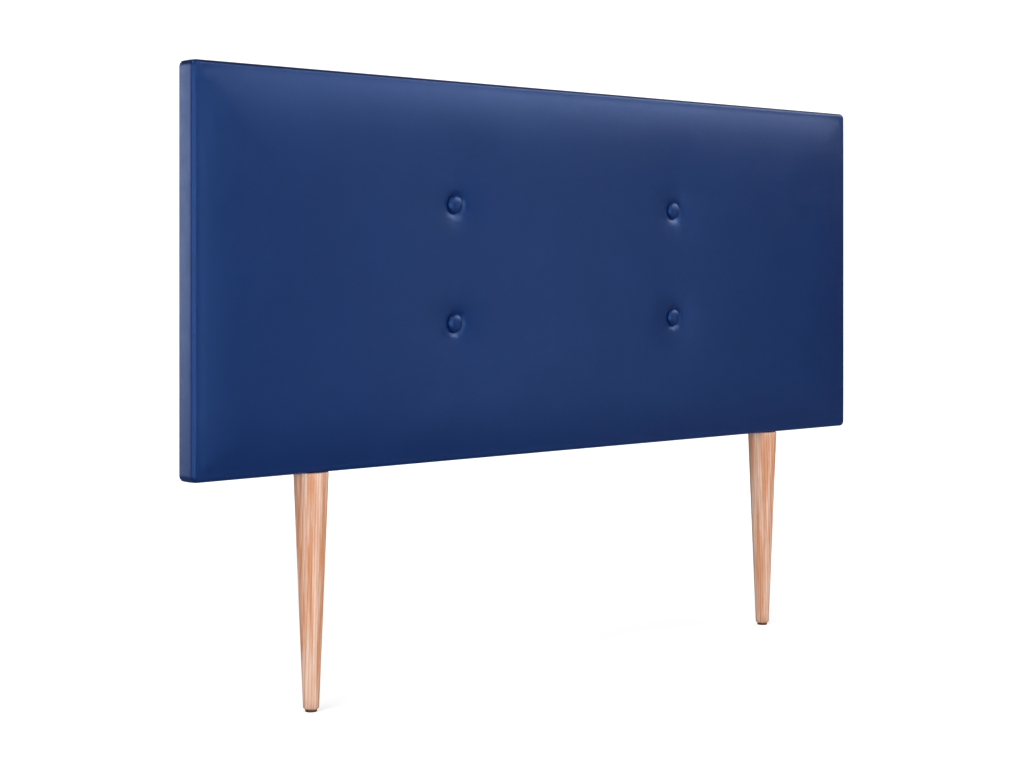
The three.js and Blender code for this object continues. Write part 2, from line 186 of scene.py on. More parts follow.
class Finish:
    """A node material while it is being built. Its patterns lie in the frame's own metres."""

    def __init__(self, name):
        self.material = bpy.data.materials.new(name)
        self.material.use_nodes = True
        self.tree = self.material.node_tree
        self.shader = self.tree.nodes["Principled BSDF"]
        self.place = self.add("ShaderNodeTexCoord").outputs["Object"]

    def add(self, kind, inputs=None, **settings):
        node = self.tree.nodes.new(kind)
        for key, value in settings.items():
            setattr(node, key, value)
        for key, value in (inputs or {}).items():
            self.feed(node.inputs[key], value)
        return node

    def feed(self, socket, value):
        if isinstance(value, bpy.types.NodeSocket):
            self.tree.links.new(value, socket)
        else:
            socket.default_value = value

    def set(self, **values):
        """Sets or links the shader's own sockets. Underscores stand for spaces."""
        for key, value in values.items():
            self.feed(self.shader.inputs[key.replace("_", " ")], value)
        return self

    def math(self, operation, first, second=0.0):
        node = self.add("ShaderNodeMath", {0: first, 1: second}, operation=operation)
        return node.outputs[0]

    def moved(self, scale=(1, 1, 1), shift=(0, 0, 0), place=None):
        inputs = {"Vector": place or self.place, "Scale": scale, "Location": shift}
        return self.add("ShaderNodeMapping", inputs).outputs[0]

    def noise(self, scale, detail=2.0, roughness=0.5, place=None, distortion=0.0):
        inputs = {
            "Vector": place or self.place,
            "Scale": scale,
            "Detail": detail,
            "Roughness": roughness,
            "Distortion": distortion,
        }
        return self.add("ShaderNodeTexNoise", inputs).outputs["Fac"]

    def voronoi(self, scale, feature="F1", place=None):
        inputs = {"Vector": place or self.place, "Scale": scale}
        return self.add("ShaderNodeTexVoronoi", inputs, feature=feature).outputs["Distance"]

    def span(self, value, low, high, to_low=0.0, to_high=1.0):
        """Maps low..high to to_low..to_high, smoothly and without overshoot."""
        inputs = {"Value": value, 1: low, 2: high, 3: to_low, 4: to_high}
        node = self.add("ShaderNodeMapRange", inputs, interpolation_type="SMOOTHSTEP")
        return node.outputs[0]

    def blend(self, share, first, second):
        node = self.add("ShaderNodeMix", data_type="RGBA")
        self.feed(node.inputs[0], share)
        self.feed(node.inputs[6], first)
        self.feed(node.inputs[7], second)
        return node.outputs[2]

    def bump(self, height, strength, distance, under=None):
        inputs = {"Height": height, "Strength": strength, "Distance": distance}
        if under is not None:
            inputs["Normal"] = under
        return self.add("ShaderNodeBump", inputs).outputs[0]


def rgb(red, green, blue):
    """A linear colour from display values of 0 to 255."""
    parts = [v / 255 for v in (red, green, blue)]
    return (*[p / 12.92 if p <= 0.04045 else ((p + 0.055) / 1.055) ** 2.4 for p in parts], 1.0)


# The leatherette's linear colours
LEATHER_BLUE = (0.0012, 0.0168, 0.096, 1)
LEATHER_DEEP = (0.0008, 0.0142, 0.086, 1)
LEATHER_PATCH = (0.0006, 0.0118, 0.074, 1)
# painted shade for the grain's creases, not a colour of the leatherette itself
LEATHER_CREASE_SHADE = (0.0004, 0.0080, 0.052, 1)
LEATHER_WORN = (0.0060, 0.0300, 0.140, 1)


def leatherette_finish():
    f = Finish("blue_leatherette")
    warp = f.add("ShaderNodeTexNoise", {"Vector": f.place, "Scale": 160.0, "Detail": 1.0}).outputs["Color"]
    wander = f.add("ShaderNodeVectorMath", {0: warp, "Scale": 0.0016}, operation="SCALE").outputs[0]
    bent = f.add("ShaderNodeVectorMath", {0: f.place, 1: wander}, operation="ADD").outputs[0]
    pebbles = f.span(f.voronoi(480.0, "DISTANCE_TO_EDGE", bent), 0.0, 0.16)
    small = f.span(f.voronoi(1150.0, "DISTANCE_TO_EDGE", bent), 0.0, 0.2)
    grain = f.math("ADD", f.math("MULTIPLY", pebbles, 0.65), f.math("MULTIPLY", small, 0.35))
    hide = f.noise(9.0, 3.0, 0.55)
    patch = f.noise(55.0, 4.0, 0.6)
    tone = f.blend(f.span(hide, 0.3, 0.7), LEATHER_DEEP, LEATHER_BLUE)
    tone = f.blend(f.span(patch, 0.35, 0.75, 0.0, 0.35), tone, LEATHER_PATCH)
    # Painted shade: the grain's creases, where its bump sinks, are darkened; they are also made rougher
    creases = f.span(grain, 0.0, 0.55, 0.4, 0.0)
    tone = f.blend(creases, tone, LEATHER_CREASE_SHADE)
    edge = f.add("ShaderNodeNewGeometry").outputs["Pointiness"]
    worn = f.math("MULTIPLY", f.span(edge, 0.5, 0.58), f.span(patch, 0.3, 0.7))
    tone = f.blend(f.math("MULTIPLY", worn, 0.25), tone, LEATHER_WORN)
    rough = f.span(patch, 0.2, 0.8, 0.30, 0.38)
    rough = f.math("ADD", rough, f.math("MULTIPLY", creases, 0.25))
    soft = f.bump(hide, 0.12, 0.004)
    normal = f.bump(grain, 0.32, 0.00018, soft)
    f.set(Base_Color=tone, Roughness=rough, Normal=normal, Specular_IOR_Level=0.86)
    f.set(Specular_Tint=(0.20, 0.42, 1.0, 1.0))
    f.set(Sheen_Weight=0.03, Sheen_Roughness=0.5, Sheen_Tint=rgb(120, 150, 210))
    return f.material


def wood_finish(
    name,
    tones,
    along="z",
    rings=190.0,
    heart=(0.03, 0.05),
    shift=(0, 0, 0),
    gloss=0.35,
    lean=0.028,
    waver=0.014,
    lines=0.7,
):
    """Long-grained wood: growth rings about an axis that lies beside the piece and leans a little from it."""
    pale, warm, line = tones
    f = Finish(name)
    moved = f.moved(shift=shift)

    def drawn_out(share):
        """The place, with its distances along the grain shortened to a share, so that patterns run long."""
        return f.moved(scale=tuple(share if axis == along else 1 for axis in "xyz"), place=moved)

    split = f.add("ShaderNodeSeparateXYZ", {0: moved}).outputs
    across = [axis for axis in "xyz" if axis != along]
    first = f.math("SUBTRACT", split["xyz".index(across[0])], heart[0])
    second = f.math("SUBTRACT", split["xyz".index(across[1])], heart[1])
    squares = f.math("ADD", f.math("MULTIPLY", first, first), f.math("MULTIPLY", second, second))
    slant = f.math("MULTIPLY", split["xyz".index(along)], lean)
    wobble = f.math("MULTIPLY", f.noise(26.0, 2.0, 0.5, drawn_out(0.06)), waver)
    radius = f.math("ADD", f.math("ADD", f.math("SQRT", squares), slant), wobble)
    turn = f.math("FRACT", f.math("MULTIPLY", radius, rings))
    late = f.math("MULTIPLY", f.span(turn, 0.45, 0.93), f.span(turn, 0.99, 0.95))
    fibre = f.noise(1500.0, 3.0, 0.6, drawn_out(0.02))
    streak = f.noise(120.0, 3.0, 0.6, drawn_out(0.03))
    tone = f.blend(f.span(streak, 0.36, 0.64), pale, warm)
    tone = f.blend(f.math("MULTIPLY", late, lines), tone, line)
    tone = f.blend(f.span(fibre, 0.5, 0.72, 0.0, 0.28), tone, line)
    rough = f.span(fibre, 0.3, 0.7, gloss, gloss + 0.14)
    height = f.math("ADD", fibre, f.math("MULTIPLY", late, 0.6))
    f.set(Base_Color=tone, Roughness=rough, Normal=f.bump(height, 0.25, 0.00015))
    return f.material


def back_cloth_finish():
    f = Finish("black_lining_cloth")
    threads = []
    for axis in (0, 2):
        split = f.add("ShaderNodeSeparateXYZ", {0: f.place}).outputs
        wave = f.math("SINE", f.math("MULTIPLY", split[axis], 2 * math.pi / 0.0011))
        threads.append(f.math("ABSOLUTE", wave))
    weave = f.math("MULTIPLY", threads[0], threads[1])
    fuzz = f.noise(900.0, 4.0, 0.7)
    slub = f.noise(70.0, 3.0, 0.6, f.moved(scale=(0.15, 1, 1)))
    tone = f.blend(f.span(fuzz, 0.3, 0.7), rgb(20, 20, 22), rgb(40, 40, 43))
    tone = f.blend(f.span(slub, 0.45, 0.7, 0.0, 0.4), tone, rgb(52, 51, 52))
    height = f.math("ADD", weave, f.math("MULTIPLY", fuzz, 0.6))
    f.set(Base_Color=tone, Roughness=f.span(fuzz, 0.3, 0.7, 0.82, 0.96), Specular_IOR_Level=0.25)
    f.set(Normal=f.bump(height, 0.4, 0.0003), Sheen_Weight=0.12, Sheen_Roughness=0.6)
    return f.material


def foam_finish():
    f = Finish("upholstery_foam")
    cells = f.voronoi(1300.0)
    large = f.noise(30.0, 3.0)
    tone = f.blend(f.span(large, 0.35, 0.65), rgb(232, 226, 196), rgb(222, 212, 176))
    # Painted shade: darker in the pits at the cells' middles, where the bump sinks them
    tone = f.blend(f.span(cells, 0.55, 0.15, 0.0, 0.45), tone, rgb(178, 166, 128))
    f.set(Base_Color=tone, Roughness=0.95, Normal=f.bump(cells, 0.5, 0.0005))
    return f.material


def hardboard_finish():
    f = Finish("hardboard_sheet")
    flecks = f.noise(700.0, 5.0, 0.75)
    felt = f.noise(180.0, 4.0, 0.7, distortion=1.5)
    tone = f.blend(f.span(felt, 0.3, 0.7), rgb(112, 76, 46), rgb(138, 98, 62))
    tone = f.blend(f.span(flecks, 0.56, 0.72, 0.0, 0.5), tone, rgb(72, 46, 28))
    f.set(Base_Color=tone, Roughness=f.span(felt, 0.3, 0.7, 0.6, 0.8), Normal=f.bump(felt, 0.2, 0.0003))
    return f.material


def plastic_finish(name, dark, light):
    f = Finish(name)
    speck = f.noise(2600.0, 3.0, 0.7)
    scuff = f.noise(240.0, 4.0, 0.65, distortion=0.8)
    tone = f.blend(f.span(scuff, 0.45, 0.7), dark, light)
    f.set(Base_Color=tone, Roughness=f.span(scuff, 0.3, 0.7, 0.36, 0.58), Normal=f.bump(speck, 0.18, 0.00008))
    return f.material


def metal_finish(name, bright, dull, rough=0.28):
    f = Finish(name)
    cloudy = f.noise(320.0, 4.0, 0.65)
    crystals = f.voronoi(900.0)
    tone = f.blend(f.span(cloudy, 0.35, 0.7), bright, dull)
    roughness = f.span(cloudy, 0.3, 0.7, rough, rough + 0.2)
    roughness = f.math("ADD", roughness, f.math("MULTIPLY", crystals, 0.05))
    f.set(Base_Color=tone, Metallic=1.0, Roughness=roughness, Normal=f.bump(cloudy, 0.1, 0.00006))
    return f.material


def twine_finish():
    f = Finish("twine_thread")
    split = f.add("ShaderNodeSeparateXYZ", {0: f.place}).outputs
    lay = f.math("ADD", f.math("MULTIPLY", split[1], 2600.0), f.math("MULTIPLY", split[2], 3600.0))
    strands = f.math("ABSOLUTE", f.math("SINE", f.math("ADD", lay, f.math("MULTIPLY", f.noise(900.0), 2.0))))
    hairs = f.noise(3000.0, 3.0, 0.7)
    # Painted shade: darker in the grooves between the strands, where the bump sinks them
    tone = f.blend(f.span(strands, 0.1, 0.7), rgb(150, 140, 118), rgb(224, 218, 202))
    tone = f.blend(f.span(hairs, 0.5, 0.75, 0.0, 0.3), tone, rgb(240, 236, 226))
    f.set(Base_Color=tone, Roughness=0.9, Normal=f.bump(strands, 0.5, 0.0003))
    return f.material


def floor_finish(name, low, high, glow):
    """A matt floor. Its glow goes from the first value under the object to the second further away."""
    f = Finish(name)
    tone = f.blend(f.span(f.noise(3.0, 2.0), 0.3, 0.7), (low, low, low, 1), (high, high, high, 1))
    away = f.add("ShaderNodeVectorMath", {0: f.place}, operation="LENGTH").outputs["Value"]
    f.set(Base_Color=tone, Roughness=0.8, Specular_IOR_Level=0.1)
    f.set(Emission_Color=(1, 1, 1, 1), Emission_Strength=f.span(away, 0.9, 3.0, *glow))
    return f.material


LEG_TONES = (rgb(240, 204, 182), rgb(218, 150, 108), rgb(166, 98, 62))
PINE_TONES = (rgb(232, 206, 158), rgb(222, 188, 132), rgb(186, 132, 76))
BEECH_TONES = (rgb(216, 178, 134), rgb(204, 160, 114), rgb(160, 112, 74))

finishes = {
    "leatherette": leatherette_finish(),
    "foam": foam_finish(),
    "hardboard": hardboard_finish(),
    "back_cloth": back_cloth_finish(),
    "rail_pine": wood_finish("pine_rails", PINE_TONES, "x", 240.0, (0.05, 0.6), gloss=0.55),
    "stile_pine": wood_finish("pine_uprights", PINE_TONES, "z", 240.0, (0.3, 0.05), gloss=0.55),
    "dowel_beech": wood_finish("beech_dowels", BEECH_TONES, "z", 500.0, gloss=0.5),
    "peg_beech": wood_finish("beech_pegs", BEECH_TONES, "x", 500.0, gloss=0.5),
    "glide": plastic_finish("dark_glide_plastic", rgb(58, 32, 24), rgb(78, 46, 34)),
    "steel": metal_finish("zinc_plated_steel", rgb(188, 192, 198), rgb(150, 154, 160)),
    "brass": metal_finish("brass_insert", rgb(200, 160, 88), rgb(160, 122, 62)),
    "staple_steel": metal_finish("galvanised_wire", rgb(196, 198, 202), rgb(140, 142, 146), rough=0.35),
    "twine": twine_finish(),
    "floor": floor_finish("pale_floor", 0.55, 0.57, (0.62, 0.95)),
    "bounce_floor": floor_finish("bounce_floor", 0.20, 0.22, (0.0, 0.0)),
}

LEG_HEARTS = {"left": (0.075, -0.040), "right": (-0.050, 0.070)}  # the rings' middle, from the leg's axis
LEG_LIFTS = {"left": 0, "right": 0.7}  # moves the grain along, so that the two legs differ


def leg_finish(side):
    low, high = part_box(f"leg_{side}")
    shift = (-(low.x + high.x) / 2, 0, LEG_LIFTS[side])
    heart = LEG_HEARTS[side]
    name = f"leg_wood_{side}"
    return wood_finish(name, LEG_TONES, "z", 270.0, heart, shift, lean=0.010, waver=0.007, lines=0.42)


for side in SIDES:
    finishes[f"leg_{side}"] = leg_finish(side)


def dress(piece, finish):
    piece.data.materials.clear()
    piece.data.materials.append(finishes[finish])


# ---- The padded front's shape ----


def front_drop(across, up, corner_radius, edge_radius):
    """How far a padded front falls back at points, from their distances to the panel's edges."""
    in_x, in_z = np.maximum(corner_radius - across, 0), np.maximum(corner_radius - up, 0)
    in_corner = (in_x > 0) & (in_z > 0)
    from_edge = np.where(in_corner, corner_radius - np.hypot(in_x, in_z), np.minimum(across, up))
    into_round = np.clip(edge_radius - from_edge, 0, edge_radius)
    rounding = edge_radius - np.sqrt(edge_radius**2 - into_round**2)
    from_sides, from_ends = (np.maximum(1 - distance / CROWN_WIDTH, 0) ** 3 for distance in (across, up))
    fall = 1 - (1 - from_sides) * (1 - from_ends)
    return rounding + CROWN_HEIGHT * fall


def dimple(x, z, floor_radius):
    """How deep the buttons pull the surface in at points."""
    depth = np.zeros_like(x)
    span = DIMPLE_RADIUS - DIMPLE_FLOOR_RADIUS
    for centre_x, centre_z in BUTTON_CENTRES:
        out = np.clip(np.hypot(x - centre_x, z - centre_z) - floor_radius, 0, span)
        for share, power in DIMPLE_FALLS:
            depth += share * DIMPLE_DEPTH * (1 - out / span) ** power
    return depth


def graded(low, high, centres, open_step):
    """Grid lines from low to high, closer together near both ends and around the centres."""
    end_step, button_step, growth, button_room = 0.0015, 0.0022, 0.12, 0.022
    fine = np.linspace(low, high, 4001)
    step = np.minimum(fine - low, high - fine) * growth + end_step
    for centre in centres:
        away = np.maximum(np.abs(fine - centre) - button_room, 0)
        step = np.minimum(step, button_step + growth * away)
    density = 1 / np.minimum(step, open_step)
    total = np.concatenate([[0], np.cumsum((density[1:] + density[:-1]) / 2 * np.diff(fine))])
    return np.interp(np.linspace(0, total[-1], round(total[-1]) + 1), total, fine)


def edge_lines(half, centres, edge_radius, open_step):
    """The same, with lines on the soft edges' arcs added at both ends."""
    angles = np.radians(np.linspace(0, 90, 9)[:-1])
    arc_lines = edge_radius * (1 - np.cos(angles))
    inner = graded(edge_radius - half, half - edge_radius, centres, open_step)
    return np.concatenate([arc_lines - half, inner, (half - arc_lines)[::-1]])


def rounded_corners(x, z, half_width, half_height, radius):
    """Moves the square corners of a grid onto round ones."""
    in_x = np.maximum(np.abs(x) - (half_width - radius), 0) / radius
    in_z = np.maximum(np.abs(z) - (half_height - radius), 0) / radius
    length = np.hypot(in_x, in_z)
    scale = np.where(length > 0, np.maximum(in_x, in_z) / np.maximum(length, 1e-9), 1)
    new_x = np.where(in_x > 0, np.sign(x) * (half_width - radius + in_x * scale * radius), x)
    new_z = np.where(in_z > 0, np.sign(z) * (half_height - radius + in_z * scale * radius), z)
    return new_x, new_z


def front_grid(inset, open_step):
    """Points of a padded front, inset from the cover's outside all round, on a grid from bottom left."""
    half_width, half_height = HALF_WIDTH - inset, HALF_HEIGHT - inset
    corner_radius, edge_radius = CORNER_RADIUS - inset, EDGE_RADIUS - inset
    button_x = sorted({round(x, 6) for x, _ in BUTTON_CENTRES})
    button_z = sorted({round(z - MIDDLE, 6) for _, z in BUTTON_CENTRES})
    lines_x = edge_lines(half_width, button_x, edge_radius, open_step)
    lines_z = edge_lines(half_height, button_z, edge_radius, open_step)
    x, z = np.meshgrid(lines_x, lines_z, indexing="ij")
    x, z = rounded_corners(x, z, half_width, half_height, corner_radius)
    drop = front_drop(half_width - np.abs(x), half_height - np.abs(z), corner_radius, edge_radius)
    return x, z + MIDDLE, drop


def grid_faces(columns, rows):
    """Faces of a grid whose vertices run up each column in turn, facing -Y."""
    faces = []
    for i in range(columns - 1):
        for j in range(rows - 1):
            corner = i * rows + j
            faces.append([corner, corner + rows, corner + rows + 1, corner + 1])
    return faces


def outline_of(columns, rows):
    """Indices of the grid's outline, counterclockwise seen from the front."""
    bottom = [i * rows for i in range(columns - 1)]
    right = [(columns - 1) * rows + j for j in range(rows - 1)]
    top = [i * rows + rows - 1 for i in range(columns - 1, 0, -1)]
    left = [j for j in range(rows - 1, 0, -1)]
    return bottom + right + top + left


# ---- The cover, shaped by a cloth simulation ----

SWELL_STEP = 0.0115
SWELL_PRESSURE = 4.0
SWELL_FRAMES = 20
SWELL_CAP = 0.0022


def simulated_swell():
    """How far the foam pushes the cover out between its edges and buttons, as (lines_x, lines_z, field)."""
    columns, rows = round(2 * HALF_WIDTH / SWELL_STEP) + 1, round(2 * HALF_HEIGHT / SWELL_STEP) + 1
    lines_x = np.linspace(-HALF_WIDTH, HALF_WIDTH, columns)
    lines_z = np.linspace(BOTTOM, TOP, rows)
    x, z = np.meshgrid(lines_x, lines_z, indexing="ij")
    across, up = HALF_WIDTH - np.abs(x), HALF_HEIGHT - np.abs(z - MIDDLE)
    surface = FRONT + front_drop(across, up, CORNER_RADIUS, EDGE_RADIUS) + dimple(x, z, DIMPLE_FLOOR_RADIUS)
    points = np.stack([x, surface, z], -1).reshape(-1, 3)
    sheet = make_object("cover_in_tension", points, grid_faces(columns, rows))
    held = np.minimum(across, up) < 0.75 * SWELL_STEP
    for centre_x, centre_z in BUTTON_CENTRES:
        held |= np.hypot(x - centre_x, z - centre_z) < DIMPLE_FLOOR_RADIUS + 0.002
    group = sheet.vertex_groups.new(name="held")
    group.add([int(i) for i in np.flatnonzero(held)], 1.0, "REPLACE")
    cloth = sheet.modifiers.new("Swell", "CLOTH")
    settings = cloth.settings
    settings.quality = 5
    settings.mass = 0.4
    settings.tension_stiffness = settings.compression_stiffness = 30
    settings.shear_stiffness = 12
    settings.bending_stiffness = 2
    settings.use_pressure = True
    settings.uniform_pressure_force = SWELL_PRESSURE
    settings.vertex_group_mass = "held"
    settings.effector_weights.gravity = 0
    cloth.collision_settings.use_collision = False
    cloth.point_cache.frame_start, cloth.point_cache.frame_end = 1, SWELL_FRAMES
    for step in range(1, SWELL_FRAMES + 1):
        bpy.context.scene.frame_set(step)
    moved = sheet.evaluated_get(bpy.context.evaluated_depsgraph_get()).data
    result = np.zeros(len(moved.vertices) * 3)
    moved.vertices.foreach_get("co", result)
    out = surface - result.reshape(-1, 3)[:, 1].reshape(surface.shape)
    bpy.data.objects.remove(sheet)
    bpy.context.scene.frame_set(1)
    return lines_x, lines_z, out * SWELL_CAP / out.max()


def sampled(field, x, z):
    """The field's value at points, by interpolation on its grid."""
    lines_x, lines_z, values = field
    at_x = np.clip((x - lines_x[0]) / (lines_x[1] - lines_x[0]), 0, len(lines_x) - 1.001)
    at_z = np.clip((z - lines_z[0]) / (lines_z[1] - lines_z[0]), 0, len(lines_z) - 1.001)
    i, j = at_x.astype(int), at_z.astype(int)
    u, v = smoothstep(0, 1, at_x - i), smoothstep(0, 1, at_z - j)
    low = values[i, j] * (1 - u) + values[i + 1, j] * u
    high = values[i, j + 1] * (1 - u) + values[i + 1, j + 1] * u
    return low * (1 - v) + high * v


GATHER_HEIGHT = 0.0001
PLEAT_DEPTH = 0.00028  # of the small pleats where the cover goes round the panel's corners
PLEATS_ROUND = 900  # waves in a whole turn, of which only the corners' own few show
SIDE_FULLNESS = 0.00025  # how far the sides bulge
SIDE_WAVER = 0.00008
BACK_WAVER = 0.00015


def gathers(x, z):
    """Faint folds that run out from each button where the cover is pulled in."""
    ripple = np.zeros_like(x)
    for number, (centre_x, centre_z) in enumerate(BUTTON_CENTRES):
        angle = np.arctan2(z - centre_z, x - centre_x)
        away = np.hypot(x - centre_x, z - centre_z) - DIMPLE_FLOOR_RADIUS
        turn = 1.3 * number
        fold = np.cos(9 * angle + turn) + 0.6 * np.cos(5 * angle - 2 * turn)
        ripple += GATHER_HEIGHT * fold * smoothstep(-0.001, 0.003, away) * smoothstep(0.022, 0.004, away)
    return ripple


def side_rings(start):
    """Rings of points from the front's outline down the sides, round the back edge and in across the back."""
    from_middle = start[:, 2] - MIDDLE
    angle = np.arctan2(from_middle / HALF_HEIGHT, start[:, 0] / HALF_WIDTH)
    corner = np.minimum(
        np.maximum(np.abs(start[:, 0]) - (HALF_WIDTH - CORNER_RADIUS), 0),
        np.maximum(np.abs(from_middle) - (HALF_HEIGHT - CORNER_RADIUS), 0),
    )
    pleat = smoothstep(0.0, 0.5 * CORNER_RADIUS, corner) * np.cos(PLEATS_ROUND * angle)
    slow = np.sin(23 * angle) + 0.7 * np.sin(41 * angle + 1.1)
    on_sides = np.sign(start[:, 0]) * (np.abs(start[:, 0]) > HALF_WIDTH - 0.001)
    on_ends = np.sign(from_middle) * (np.abs(from_middle) > HALF_HEIGHT - 0.001)

    def ring(depth, inward, fold):
        """The outline at a depth, drawn in towards the panel's centre."""
        draw = inward + PLEAT_DEPTH * fold * pleat
        ring_x = start[:, 0] * (1 - draw / HALF_WIDTH)
        ring_z = MIDDLE + from_middle * (1 - draw / HALF_HEIGHT)
        return np.stack([ring_x, np.full(len(start), depth), ring_z], -1)

    rings = []
    side_start, side_end = start[:, 1].mean(), BACK - BACK_EDGE_RADIUS
    for share in np.linspace(0, 1, 9)[1:]:
        fullness = SIDE_FULLNESS * math.sin(math.pi * share)
        made = ring(side_start + (side_end - side_start) * share, 0.0, share**2)
        made[:, 0] += on_sides * (fullness + SIDE_WAVER * slow * share)
        made[:, 2] += on_ends * fullness
        rings.append(made)
    for turn in np.radians((22.5, 45, 67.5, 90)):
        depth = side_end + BACK_EDGE_RADIUS * math.sin(turn)
        rings.append(ring(depth, BACK_EDGE_RADIUS * (1 - math.cos(turn)), 1.0))
    for inward in np.linspace(BACK_EDGE_RADIUS, COVER_TURN_IN, 7)[1:]:
        made = ring(BACK, inward, 1.0)
        made[:, 1] -= BACK_WAVER * (0.5 + 0.5 * slow / 1.7)
        rings.append(made)
    return rings


def make_cover(swell):
    x, z, drop = front_grid(inset=0.0, open_step=0.009)
    columns, rows = x.shape
    y = FRONT + drop + dimple(x, z, DIMPLE_FLOOR_RADIUS) + gathers(x, z) - sampled(swell, x, z)
    vertices = list(np.stack([x, y, z], -1).reshape(-1, 3))
    faces = grid_faces(columns, rows)
    loop = outline_of(columns, rows)
    before = loop
    for made in side_rings(np.array([vertices[index] for index in loop])):
        first = len(vertices)
        vertices.extend(made)
        now = list(range(first, first + len(loop)))
        for k in range(len(loop)):
            after = (k + 1) % len(loop)
            faces.append([before[k], now[k], now[after], before[after]])
        before = now
    points = np.array(vertices)
    middle = np.array([points[face].mean(0) for face in faces])
    keep = np.ones(len(faces), bool)
    for centre_x, centre_z in BUTTON_CENTRES:
        hole = np.hypot(middle[:, 0] - centre_x, middle[:, 2] - centre_z) < TIE_HOLE_RADIUS
        keep &= ~(hole & (middle[:, 1] < 0))
    cover = make_object("cover_skin", points, [face for face, kept in zip(faces, keep) if kept])
    thicken(cover, COVER_THICKNESS)
    dress(cover, "leatherette")
    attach(cover, "root")
    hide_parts("leatherette_cover")
    return cover


def make_foam(swell):
    """The foam pad: the cover's shape, one skin further in, on a flat back."""
    foam_low, foam_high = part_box("foam_pad")
    x, z, drop = front_grid(inset=SKIN, open_step=0.018)
    columns, rows = x.shape
    pulled = dimple(x, z, DIMPLE_FLOOR_RADIUS + SKIN)
    y = np.minimum(foam_low.y + drop + pulled - sampled(swell, x, z), foam_high.y - 0.0005)
    front = list(np.stack([x, y, z], -1).reshape(-1, 3))
    back = list(np.stack([x, np.full_like(x, foam_high.y), z], -1).reshape(-1, 3))
    middle = np.stack([x, z], -1).reshape(-1, 2)
    faces = grid_faces(columns, rows)
    centres = np.array([middle[face].mean(0) for face in faces])
    keep = np.ones(len(faces), bool)
    for centre_x, centre_z in BUTTON_CENTRES:
        keep &= np.hypot(centres[:, 0] - centre_x, centres[:, 1] - centre_z) > TIE_HOLE_RADIUS
    kept = [face for face, stays in zip(faces, keep) if stays]
    shift = len(front)
    solid_faces = kept + [[corner + shift for corner in face[::-1]] for face in kept]
    edges = {}
    for face in kept:
        for one, two in zip(face, face[1:] + face[:1]):
            edges[(one, two)] = edges.get((one, two), 0) + 1
    for one, two in edges:
        if (two, one) not in edges:
            solid_faces.append([two, one, one + shift, two + shift])
    foam = make_object("foam_layer", front + back, solid_faces)
    dress(foam, "foam")
    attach(foam, "root")
    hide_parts("foam_pad")
    return foam


# ---- Buttons ----

BUTTON_SIDES = 72


def make_button(name):
    low, high = BUTTON_BOXES[name]
    radius, height = (high.x - low.x) / 2, high.y - low.y
    wall, rim = 0.0014, 0.0008
    dome = height - rim
    outer = arc_ellipse(radius, dome, rim, 18)
    inner = arc_ellipse(radius - wall, dome - wall, rim, 10)[::-1]
    lip = [(radius - wall, 0.0002), (radius - wall + 0.0003, 0.0)]
    lip += [(radius - 0.0005, 0.0), (radius - 0.0001, 0.0003)]
    profile = inner + lip + outer
    start = len(inner)
    depths = {start + step: math.exp(-step / 4.0) for step in range(len(lip) + len(outer))}

    def gather(angle, index):
        fade = depths.get(index, 0.0)
        return 1 - 0.009 * fade * (0.5 + 0.5 * math.cos(22 * angle + 0.6 * math.sin(3 * angle)))

    place = ((low.x + high.x) / 2, high.y, (low.z + high.z) / 2)
    name_of_piece = f"covered_button_{name}"
    button = lathe(name_of_piece, profile, BUTTON_SIDES, place, facing_front=True, wave=gather)
    dress(button, "leatherette")
    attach(button, "root")
    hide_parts(f"button_{name}")
    return button


def arc_ellipse(radius, height, base, steps):
    """[radius, height] pairs from the rim up to the axis, a little fuller than an ellipse."""
    points = []
    for step in range(steps + 1):
        angle = math.pi / 2 * step / steps
        across = 0 if step == steps else radius * math.cos(angle) ** 0.92
        points.append((across, base + height * math.sin(angle) ** 0.96))
    return points


# ---- Legs and glides ----

LEG_SIDES = 96


def make_leg(side):
    low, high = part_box(f"leg_{side}")
    axis = (low.x + high.x) / 2
    top, foot = (high.x - low.x) / 2, 0.0115
    chamfer, rounding = 0.0025, 0.0006
    bolt_radius, bolt_depth = 0.0043, 0.0383
    nail_radius, nail_depth = 0.0013, 0.013
    bottom, end = low.z, high.z
    profile = [(0, bottom + nail_depth), (nail_radius, bottom + nail_depth), (nail_radius, bottom)]
    profile += [(foot - chamfer - 0.0003, bottom), (foot - chamfer, bottom + 0.0001)]
    profile += [(foot - 0.0003, bottom + chamfer - 0.0002), (foot, bottom + chamfer + 0.0003)]
    taper_start, taper_end = bottom + chamfer + 0.0003, end - rounding
    for share in np.linspace(0, 1, 25)[1:]:
        profile.append((foot + (top - foot) * share, taper_start + (taper_end - taper_start) * share))
    profile += arc((top - rounding, end - rounding), rounding, 15, 90, 5)
    profile += [(bolt_radius + 0.0005, end), (bolt_radius, end - 0.0005)]
    profile += [(bolt_radius, end - bolt_depth), (0, end - bolt_depth)]
    leg = lathe(f"turned_leg_{side}", profile, LEG_SIDES, (axis, 0, 0))
    dress(leg, f"leg_{side}")
    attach(leg, "root")
    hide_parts(f"leg_{side}")
    return leg


def make_glide(side):
    low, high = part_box(f"foot_glide_{side}")
    radius = (high.x - low.x) / 2
    thickness, nail, point, rounding = 0.003, 0.001, 0.001, 0.001
    profile = [(0, 0), (radius - rounding, 0)]
    profile += arc((radius - rounding, rounding), rounding, -75, 0, 5)
    profile += [(radius, thickness - 0.0003), (radius - 0.0003, thickness), (nail, thickness)]
    profile += [(nail, high.z - point), (0, high.z)]
    glide = lathe(f"glide_{side}", profile, 48, ((low.x + high.x) / 2, 0, 0))
    dress(glide, "glide")
    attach(glide, "root")
    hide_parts(f"foot_glide_{side}")
    return glide


# ---- Back cloth and staples ----

